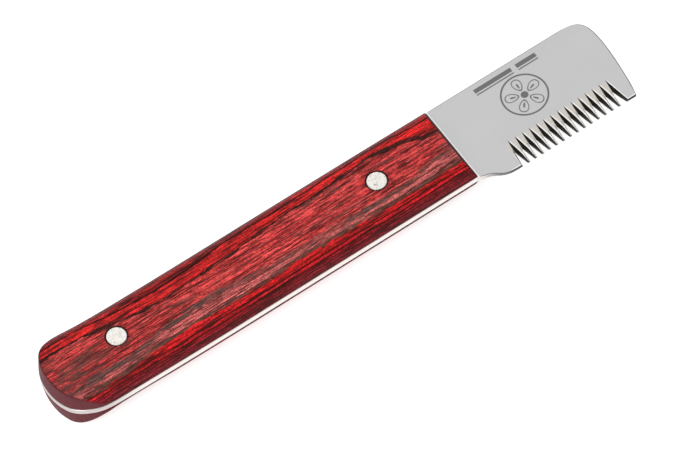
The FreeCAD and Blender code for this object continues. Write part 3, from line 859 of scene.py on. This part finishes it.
def hole_cutter(name, level):
    """Stepped, flared plugs that cut the counterbored rivet holes."""
    bm = bmesh.new()
    # radius, height above the inner face
    profile = [(0.0, -1.0), (HOLE_R, -1.0), (HOLE_R, SCALE_T - SEAT_T),
               (SEAT_R, SCALE_T - SEAT_T), (SEAT_R, SCALE_T - 0.05),
               (SEAT_R + 0.3, SCALE_T + 0.25), (SEAT_R + 0.3, SCALE_T + 1.0),
               (0.0, SCALE_T + 1.0)]
    for centre_x, centre_y, _ in RIVETS:
        rings = []
        for radius, height in profile:
            points = circle(centre_x, centre_y, radius, HOLE_SIDES if radius else 1)
            rings.append([bm.verts.new((x * MM, y * MM, level(height) * MM))
                          for x, y in points])
        for a, b in zip(rings, rings[1:]):
            for k in range(HOLE_SIDES):
                m = (k + 1) % HOLE_SIDES
                add_face(bm, a[k % len(a)], a[m % len(a)], b[m % len(b)], b[k % len(b)])
    return bmesh_object(name, bm)


def circle(centre_x, centre_y, radius, sides=96):
    angles = [2 * math.pi * k / sides for k in range(sides)]
    return [(centre_x + radius * math.cos(a), centre_y + radius * math.sin(a)) for a in angles]


def shade_smooth(mesh):
    """Smooth shading, with edges sharper than SHARP_ANGLE kept sharp."""
    bm = bmesh.new()
    bm.from_mesh(mesh)
    bmesh.ops.recalc_face_normals(bm, faces=bm.faces[:])
    for face in bm.faces:
        face.smooth = True
    for edge in bm.edges:
        edge.smooth = not (len(edge.link_faces) == 2 and edge.calc_face_angle(0) > SHARP_ANGLE)
    bm.to_mesh(mesh)
    bm.free()


def make_scale(name, level, material):
    ob = scale_body(name, level)
    cutter = hole_cutter(name + "_cut", level)
    holes = ob.modifiers.new("holes", "BOOLEAN")
    holes.operation, holes.solver, holes.object = "DIFFERENCE", "EXACT", cutter
    graph = bpy.context.evaluated_depsgraph_get()
    cut_mesh = bpy.data.meshes.new_from_object(ob.evaluated_get(graph))
    ob.modifiers.clear()
    whole_mesh, ob.data = ob.data, cut_mesh
    cut_mesh.name = name
    bpy.data.meshes.remove(whole_mesh)
    cutter_mesh = cutter.data
    bpy.data.objects.remove(cutter)
    bpy.data.meshes.remove(cutter_mesh)
    shade_smooth(ob.data)
    dress(ob, material)
    return ob


front = make_scale("front_scale_shaped", lambda height: FRONT_Z + height, FRONT_WOOD)
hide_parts("front_scale")
rear = make_scale("rear_scale_shaped", lambda height: REAR_Z - height, REAR_WOOD)
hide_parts("rear_scale")
for ob in (front, rear):
    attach(ob, "root")

# ---------------------------------------------------------------- CAD pieces used as they are
for piece, material in (
        ("blade", STEEL), ("front_adhesive_film", GLUE), ("rear_adhesive_film", GLUE),
        ("blade_end_rivet_post", RIVET_METAL), ("blade_end_rivet_sleeve", RIVET_METAL),
        ("butt_end_rivet_post", RIVET_METAL), ("butt_end_rivet_sleeve", RIVET_METAL)):
    dress(bpy.data.objects[piece], material)

# ---------------------------------------------------------------- mark: a flower and ruled bars
MARK_X, MARK_Y = 79.9, 1.2
MARK_SUNK, MARK_PROUD = 0.01, 0.012       # below and above the blade's front face
BAR_SPANS = ((70.6, 81.3), (82.7, 88.4))  # in x
BAR_HEIGHTS = ((8.45, 9.65), (7.72, 8.05))    # in y


def slab(bm, outline, hole=None):
    """A thin closed plate. A hole has as many points as the outline."""
    def levels(loop):
        return [[bm.verts.new((x * MM, y * MM, z * MM)) for x, y in loop]
                for z in (FRONT_Z - MARK_SUNK, FRONT_Z + MARK_PROUD)]

    count = len(outline)
    low, high = levels(outline)
    if hole:
        hole_low, hole_high = levels(hole)
    else:
        bm.faces.new(high)
        bm.faces.new(list(reversed(low)))
    for k in range(count):
        m = (k + 1) % count
        if hole:
            bm.faces.new((high[k], high[m], hole_high[m], hole_high[k]))
            bm.faces.new((low[k], hole_low[k], hole_low[m], low[m]))
        bm.faces.new((low[k], low[m], high[m], high[k]))
        if hole:
            bm.faces.new((hole_low[k], hole_high[k], hole_high[m], hole_low[m]))


def petal(inner, outer, half, turn, sides=40):
    """Rounded drop pointing away from the mark's centre."""
    points = []
    for k in range(sides):
        a = 2 * math.pi * k / sides
        t = (1 - math.cos(a)) / 2
        out = inner + (outer - inner) * t
        across = half * math.sin(a) * (0.55 + 0.45 * t)
        points.append((MARK_X + out * math.cos(turn) - across * math.sin(turn),
                       MARK_Y + out * math.sin(turn) + across * math.cos(turn)))
    return points


bm = bmesh.new()
slab(bm, circle(MARK_X, MARK_Y, 5.95), hole=circle(MARK_X, MARK_Y, 5.50))
slab(bm, circle(MARK_X, MARK_Y, 0.95))
for k in range(5):
    turn = math.radians(90 + 72 * k)
    slab(bm, petal(1.35, 5.0, 1.55, turn), hole=petal(1.72, 4.72, 1.27, turn))
    slab(bm, petal(2.1, 3.7, 0.30, turn))
for x0, x1 in BAR_SPANS:
    for y0, y1 in BAR_HEIGHTS:
        slab(bm, [(x0, y0), (x1, y0), (x1, y1), (x0, y1)])
mark = bmesh_object("etched_mark", bm)
dress(mark, ETCH)
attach(mark, "root")

# ---------------------------------------------------------------- floor, in metres from here on
FLOOR_HALF_M, FLOOR_Z_M = 3, -0.00002


def floor_material():
    """Near-white matt floor that glows a little."""
    mat = Shader("studio_floor")
    cloud = mat.noise(mat.position(), (0.01, 0.01, 0.01), detail=3.0)
    colour = mat.mix(cloud.swing(), (0.56, 0.56, 0.56, 1), (0.58, 0.58, 0.58, 1))
    return mat.principled(Base_Color=colour, Roughness=0.9, Specular_IOR_Level=0.0,
                          Emission_Color=(1, 1, 1, 1), Emission_Strength=0.66)


floor_mesh = bpy.data.meshes.new("studio_floor")
floor_mesh.from_pydata(
    [(x * FLOOR_HALF_M, y * FLOOR_HALF_M, FLOOR_Z_M)
     for x, y in ((-1, -1), (1, -1), (1, 1), (-1, 1))], [], [(0, 1, 2, 3)])
floor = link(bpy.data.objects.new("studio_floor", floor_mesh))
floor.data.materials.append(floor_material())


# ---------------------------------------------------------------- world, lights and camera
def make_world(horizon, zenith):
    """White sky whose strength rises from the horizon to straight overhead."""
    world = bpy.data.worlds.new("studio")
    SCENE.world = world
    world.use_nodes = True
    tree = world.node_tree
    tree.nodes.clear()
    coords, split, rise, sky, output = [tree.nodes.new("ShaderNode" + kind) for kind in (
        "TexCoord", "SeparateXYZ", "MapRange", "Background", "OutputWorld")]
    rise.interpolation_type = "SMOOTHSTEP"
    rise.inputs["From Min"].default_value = 0.0
    rise.inputs["From Max"].default_value = 1.0
    rise.inputs["To Min"].default_value = horizon
    rise.inputs["To Max"].default_value = zenith
    tree.links.new(coords.outputs["Generated"], split.inputs[0])
    tree.links.new(split.outputs[2], rise.inputs["Value"])
    tree.links.new(rise.outputs[0], sky.inputs["Strength"])
    tree.links.new(sky.outputs[0], output.inputs[0])


def softbox(name, place, size, watts):
    """Rectangular light aimed at a point near the middle of the tool."""
    lamp = bpy.data.lights.new(name, "AREA")
    lamp.shape = "RECTANGLE"
    lamp.size, lamp.size_y = size
    lamp.energy = watts
    ob = link(bpy.data.objects.new(name, lamp))
    ob.location = place
    aim = Vector((0.02, 0, 0)) - Vector(place)
    ob.rotation_euler = aim.to_track_quat("-Z", "Y").to_euler()


make_world(horizon=0.55, zenith=1.22)
softbox("key_softbox", place=(-0.9, -0.4, 1.5), size=(1.3, 1.1), watts=14)
softbox("fill_softbox", place=(1.5, -0.5, 1.4), size=(1.0, 1.0), watts=5)
SCENE.view_settings.view_transform = "Standard"
SCENE.view_settings.look = "None"

SENSOR_WIDTH = 36.0
CAMERA_DISTANCE_M = 3.59
VIEW_WIDTH_M = 0.16195                    # width of the view at the target
TARGET_M = Vector((0.02363, -0.00278, 0.007))
SHIFT_RIGHT_M, SHIFT_UP_M = -0.000024, -0.000083

camera = bpy.data.cameras.new("camera")
camera_ob = link(bpy.data.objects.new("camera", camera))
camera.sensor_fit = "HORIZONTAL"
camera.sensor_width = SENSOR_WIDTH
camera.lens = SENSOR_WIDTH * CAMERA_DISTANCE_M / VIEW_WIDTH_M
camera.clip_start, camera.clip_end = 0.05, 50.0

# the camera's own axes: right, up, and back from the target
right = Vector((0.8269, -0.5563, -0.0824)).normalized()
back = Vector((-0.2332, -0.4726, 0.8499))
back = (back - right * back.dot(right)).normalized()
up = back.cross(right)
place = TARGET_M + right * SHIFT_RIGHT_M + up * SHIFT_UP_M + back * CAMERA_DISTANCE_M
camera_ob.matrix_world = Matrix(
    [(right[i], up[i], back[i], place[i]) for i in range(3)] + [(0, 0, 0, 1)])
SCENE.camera = camera_ob
